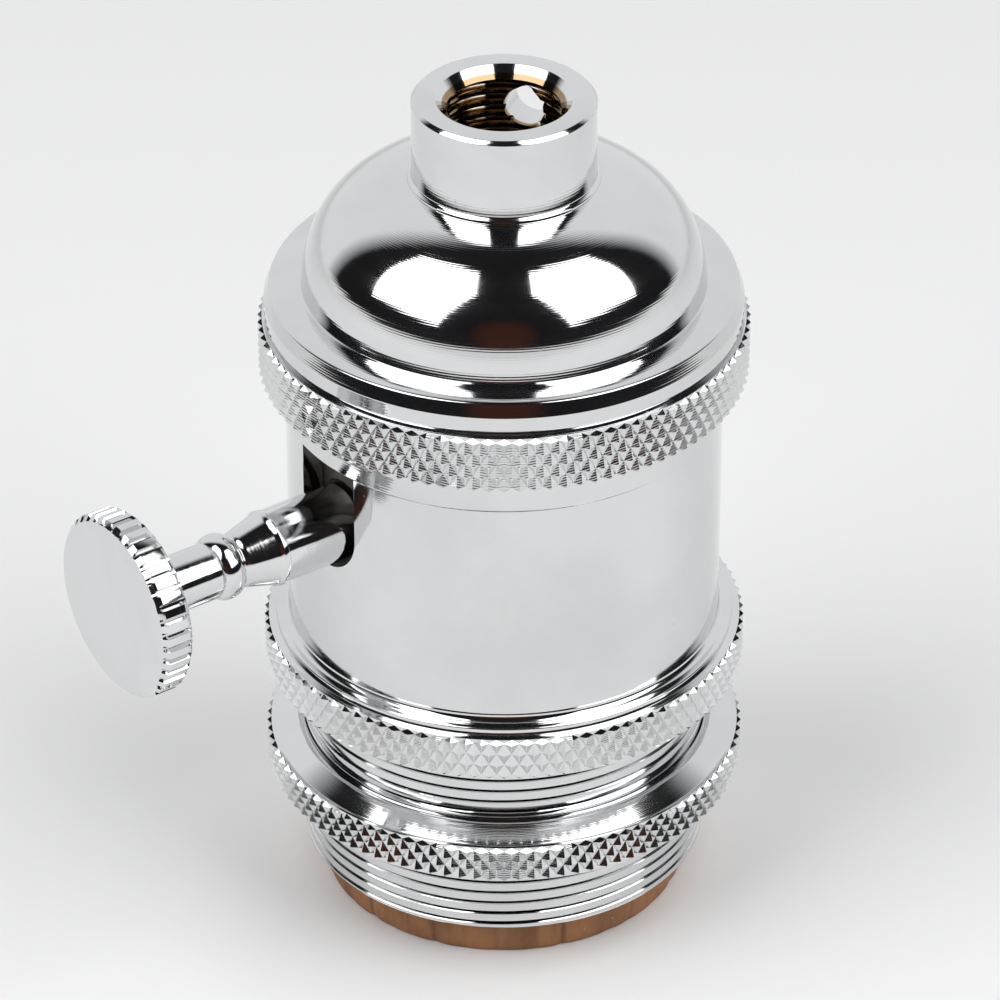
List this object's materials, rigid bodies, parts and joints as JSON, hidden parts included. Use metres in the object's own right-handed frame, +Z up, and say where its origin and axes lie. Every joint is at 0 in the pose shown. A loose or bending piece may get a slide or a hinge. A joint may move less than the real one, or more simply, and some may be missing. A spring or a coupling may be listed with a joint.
{
  "type": "turn knob lamp socket",
  "caption": "Turned metal lampholder with a side turn knob, a threaded cord neck on its dome, knurled edges, a threaded skirt with a loose shade ring, and a fibre liner at its mouth.",
  "frame": {"origin": "centre of the mouth of the lamp thread, on the socket's axis", "axes": "+Z up along the socket's axis, out of the cord neck; the knob points along -X"},
  "size_m": [0.0568, 0.039, 0.0712],
  "materials": {
    "cap_chrome": "polished plating over fine turning lines",
    "shell_chrome": "polished plating",
    "ring_chrome": "polished plating over knurling",
    "knob_chrome": "polished plating over a casting",
    "fibre": "matte brown fibre board",
    "moulding": "black moulded insulator",
    "rotor_moulding": "brown moulded insulator",
    "brass": "bright stamped brass",
    "shell_brass": "pressed brass, thinly nickelled",
    "plated_brass": "nickelled brass strip",
    "plated_steel": "zinc-plated steel",
    "spring_steel": "tempered spring steel"
  },
  "bodies": {
    "holder": {"cap": "cap_chrome", "shell": "shell_chrome", "fibre_liner": "fibre", "shaft_bushing": "brass", "switch_base": "moulding", "switch_cover": "moulding", "index_spring": "spring_steel", "screw_shell": "shell_brass", "screw_shell_rivets": "plated_steel", "centre_contact": "brass", "contact_rivet": "plated_steel", "load_contact": "brass", "live_terminal": "brass", "neutral_terminal": "plated_brass", "live_screw": "brass", "neutral_screw": "plated_steel", "body_screws": "plated_steel"},
    "knob": {"turn_knob": "knob_chrome", "switch_shaft": "plated_steel", "rotor": "rotor_moulding", "rotor_contact": "brass", "rotor_clip": "spring_steel"},
    "ring": {"shade_ring": "ring_chrome"}
  },
  "joints": [
    {"name": "knob_turn", "type": "hinge", "parent": "holder", "child": "knob", "pos_m": [0, 0, 0.0344], "axis": [1, 0, 0], "continuous": true},
    {"name": "ring_travel", "type": "slide", "parent": "holder", "child": "ring", "axis": [0, 0, 1], "range_m": [-0.007, 0.0057]}
  ]
}
